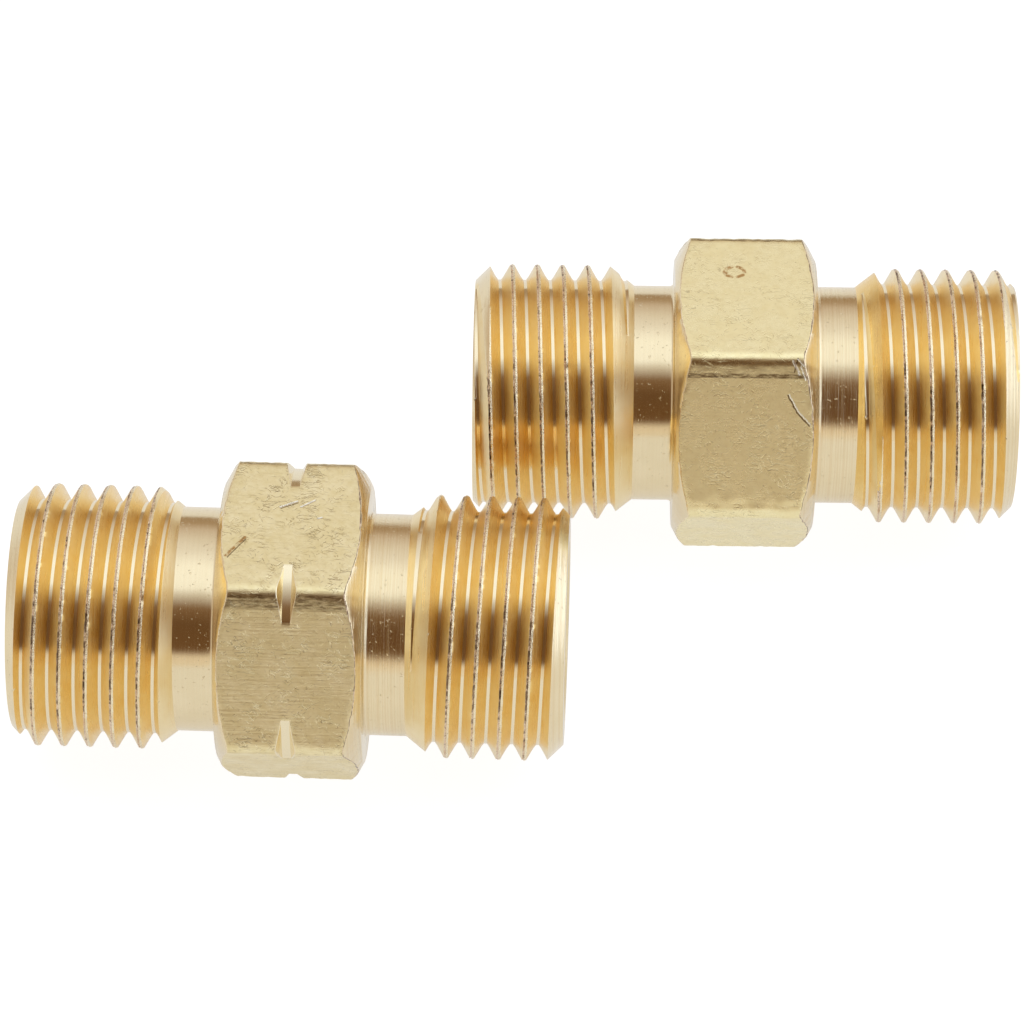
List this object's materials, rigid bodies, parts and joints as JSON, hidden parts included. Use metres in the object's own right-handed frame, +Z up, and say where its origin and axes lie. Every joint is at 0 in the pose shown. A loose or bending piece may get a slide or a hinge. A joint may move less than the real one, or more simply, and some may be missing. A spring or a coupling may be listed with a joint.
{
  "type": "gas hose union pair",
  "caption": "Pair of loose brass double-male hose unions with a centre hex, one left-hand threaded with a grooved hex, one right-hand threaded with a plain hex.",
  "frame": {"origin": "on the surface both unions lie on, midway between their two hexes", "axes": "+Z up, X nearly along both gas ways, -Y towards the left-hand union"},
  "size_m": [0.0553, 0.0351, 0.0159],
  "materials": {
    "left_hand_brass": "turned, with dull drawn flats on the hex",
    "right_hand_brass": "turned, with dull drawn flats on the hex"
  },
  "bodies": {
    "left_hand": {"left_hand_union": "left_hand_brass"},
    "right_hand": {"right_hand_union": "right_hand_brass"}
  },
  "joints": [
    {"name": "right_hand_lift", "type": "slide", "parent": "left_hand", "child": "right_hand", "axis": [0, 0, 1], "range_m": [0, 0.03]}
  ]
}
